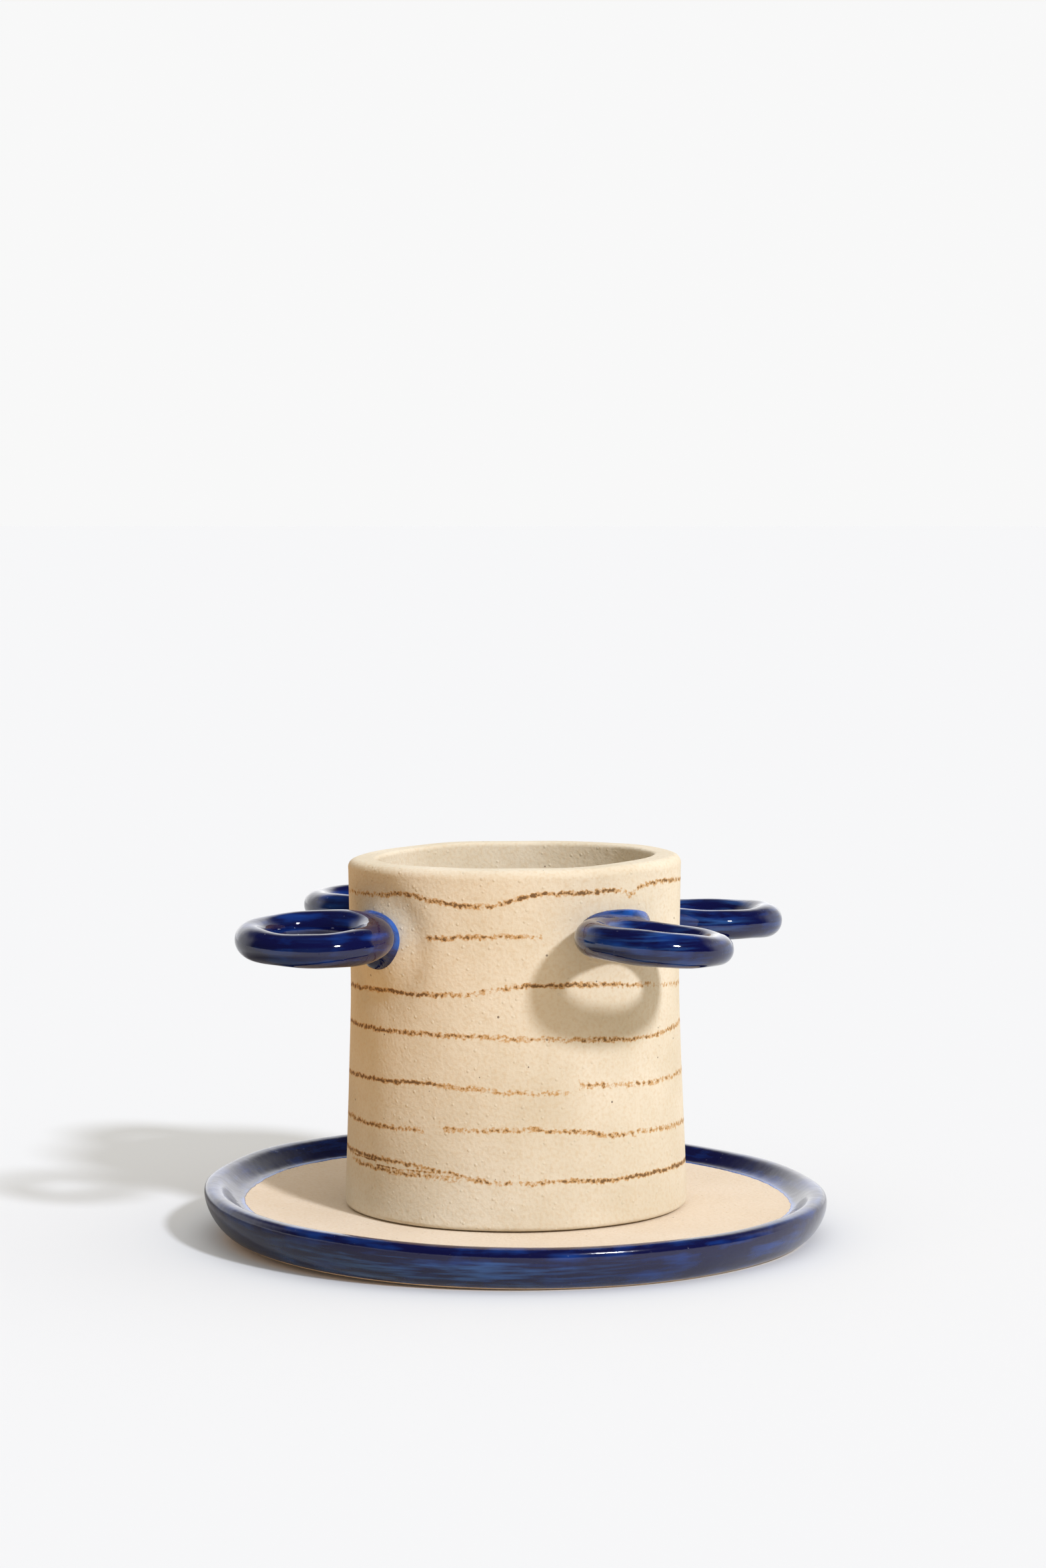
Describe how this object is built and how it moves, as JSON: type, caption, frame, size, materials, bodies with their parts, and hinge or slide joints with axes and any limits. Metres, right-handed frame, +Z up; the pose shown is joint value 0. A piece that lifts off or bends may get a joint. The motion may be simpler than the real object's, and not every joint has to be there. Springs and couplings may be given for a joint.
{
  "type": "toothbrush holder",
  "caption": "Hand-built stoneware toothbrush holder: a bare clay cup with closed glazed loops round its upper wall, standing loose on a round rimmed tray.",
  "frame": {"origin": "middle of the tray's underside, on the surface that the tray stands on", "axes": "+Z up along the cup's axis, -Y towards the viewer of the front, +X to the viewer's right"},
  "size_m": [0.1664, 0.1664, 0.1015],
  "materials": {
    "bare_clay": "unglazed fine-grogged stoneware, matte",
    "cobalt_glaze": "deep cobalt glaze, gloss"
  },
  "bodies": {
    "tray": {"tray_floor": "bare_clay", "tray_rim": "cobalt_glaze"},
    "cup": {"cup_wall": "bare_clay", "cup_floor": "bare_clay", "loop_back_right": "cobalt_glaze", "loop_back_left": "cobalt_glaze", "loop_front_left": "cobalt_glaze", "loop_front_right": "cobalt_glaze", "loop_pad_back_right": "cobalt_glaze", "loop_pad_back_left": "cobalt_glaze", "loop_pad_front_left": "cobalt_glaze", "loop_pad_front_right": "cobalt_glaze"}
  },
  "joints": [
    {"name": "cup_lift", "type": "slide", "parent": "tray", "child": "cup", "axis": [0, 0, 1], "range_m": [0, 0.06]}
  ]
}
